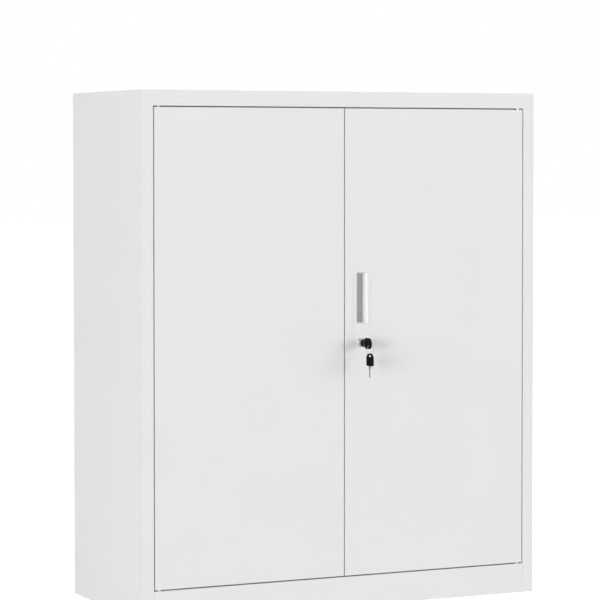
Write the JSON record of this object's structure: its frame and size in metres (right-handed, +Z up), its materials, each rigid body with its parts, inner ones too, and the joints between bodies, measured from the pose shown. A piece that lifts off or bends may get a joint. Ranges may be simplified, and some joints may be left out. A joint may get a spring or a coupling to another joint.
{
  "type": "steel storage cabinet",
  "caption": "Free-standing sheet-steel storage cabinet with hinged doors, recessed pull, key lock working top and bottom rods, and adjustable shelves inside.",
  "frame": {"origin": "centre of the whole object's box, keys included, on the floor", "axes": "+Z up, -Y out of the doors, +X towards the right-hand door seen from the front"},
  "size_m": [0.9, 0.4512, 1.07],
  "materials": {
    "powder_white": "fine white powder coat, satin",
    "bright_steel": "bright zinc-plated steel",
    "zinc": "dull zinc-plated pressed steel",
    "chrome": "satin chrome plate",
    "key_steel": "nickel-plated steel",
    "nylon": "natural white nylon",
    "handle_plastic": "white moulded plastic, satin",
    "black_plastic": "black moulded plastic, semi-gloss",
    "plug_black": "dark burnished lock plug, semi-gloss",
    "rubber": "grey rubber",
    "magnet": "dark ferrite magnet"
  },
  "bodies": {
    "carcass": {"top_cap": "powder_white", "left_side_panel": "powder_white", "right_side_panel": "powder_white", "left_back_panel": "powder_white", "right_back_panel": "powder_white", "base_deck": "powder_white", "deck_brackets": "powder_white", "front_left_upright": "powder_white", "front_right_upright": "powder_white", "rear_left_upright": "powder_white", "rear_right_upright": "powder_white", "upper_shelf_clips": "zinc", "lower_shelf_clips": "zinc", "hinge_bushes": "nylon", "rod_sockets": "nylon", "catch_housings": "nylon", "catch_plates": "bright_steel", "catch_magnets": "magnet", "catch_screws": "bright_steel", "door_buffers": "rubber", "cap_screws": "bright_steel", "cap_nuts": "bright_steel", "deck_screws": "bright_steel", "deck_nuts": "bright_steel", "back_screws": "bright_steel", "back_nuts": "bright_steel"},
    "left_door": {"left_door_panel": "powder_white", "left_door_stiffener": "powder_white", "left_hinge_plates": "zinc", "left_upper_hinge_pin": "bright_steel", "left_lower_hinge_pin": "bright_steel"},
    "right_door": {"right_door_panel": "powder_white", "right_door_stiffener": "powder_white", "right_hinge_plates": "zinc", "right_upper_hinge_pin": "bright_steel", "right_lower_hinge_pin": "bright_steel", "handle_cup": "handle_plastic", "lock_housing": "chrome", "lock_nut": "zinc", "rod_guides": "nylon"},
    "lock_core": {"lock_plug": "plug_black", "lock_cam": "zinc", "cam_pins": "bright_steel", "cam_screw": "bright_steel"},
    "upper_rod": {"upper_lock_rod": "zinc"},
    "lower_rod": {"lower_lock_rod": "zinc"},
    "key": {"key_blade": "key_steel", "key_bow": "black_plastic"},
    "ring": {"key_ring": "key_steel"},
    "spare_key": {"spare_key_blade": "key_steel", "spare_key_bow": "black_plastic"},
    "top_shelf": {"upper_shelf": "powder_white"},
    "bottom_shelf": {"lower_shelf": "powder_white"}
  },
  "joints": [
    {"name": "left_door_hinge", "type": "hinge", "parent": "carcass", "child": "left_door", "pos_m": [-0.4125, -0.17155, 0.55], "axis": [0, 0, -1], "range_deg": [0, 110]},
    {"name": "right_door_hinge", "type": "hinge", "parent": "carcass", "child": "right_door", "pos_m": [0.4125, -0.17155, 0.55], "axis": [0, 0, 1], "range_deg": [0, 110]},
    {"name": "lock_turn", "type": "hinge", "parent": "right_door", "child": "lock_core", "pos_m": [0.04, -0.17655, 0.549], "axis": [0, -1, 0], "range_deg": [0, 90]},
    {"name": "upper_rod_slide", "type": "slide", "parent": "right_door", "child": "upper_rod", "axis": [0, 0, 1], "range_m": [0, 0.0227]},
    {"name": "lower_rod_slide", "type": "slide", "parent": "right_door", "child": "lower_rod", "axis": [0, 0, -1], "range_m": [0, 0.0227]},
    {"name": "key_slide", "type": "slide", "parent": "lock_core", "child": "key", "axis": [0, -1, 0], "range_m": [0, 0.02]},
    {"name": "ring_swing", "type": "hinge", "parent": "key", "child": "ring", "pos_m": [0.04, -0.21425, 0.5449], "axis": [1, 0, 0], "range_deg": [-45, 15]},
    {"name": "spare_key_swing", "type": "hinge", "parent": "ring", "child": "spare_key", "pos_m": [0.04, -0.21425, 0.5251], "axis": [0.9563, 0.2924, 0], "range_deg": [-45, 15]},
    {"name": "upper_shelf_lift", "type": "slide", "parent": "carcass", "child": "top_shelf", "axis": [0, 0, 1], "range_m": [0, 0.03]},
    {"name": "lower_shelf_lift", "type": "slide", "parent": "carcass", "child": "bottom_shelf", "axis": [0, 0, 1], "range_m": [0, 0.03]}
  ],
  "couplings": [
    {"joint": "upper_rod_slide", "follows": "lock_turn", "m_per_rad": 0.014405},
    {"joint": "lower_rod_slide", "follows": "lock_turn", "m_per_rad": 0.014405}
  ]
}
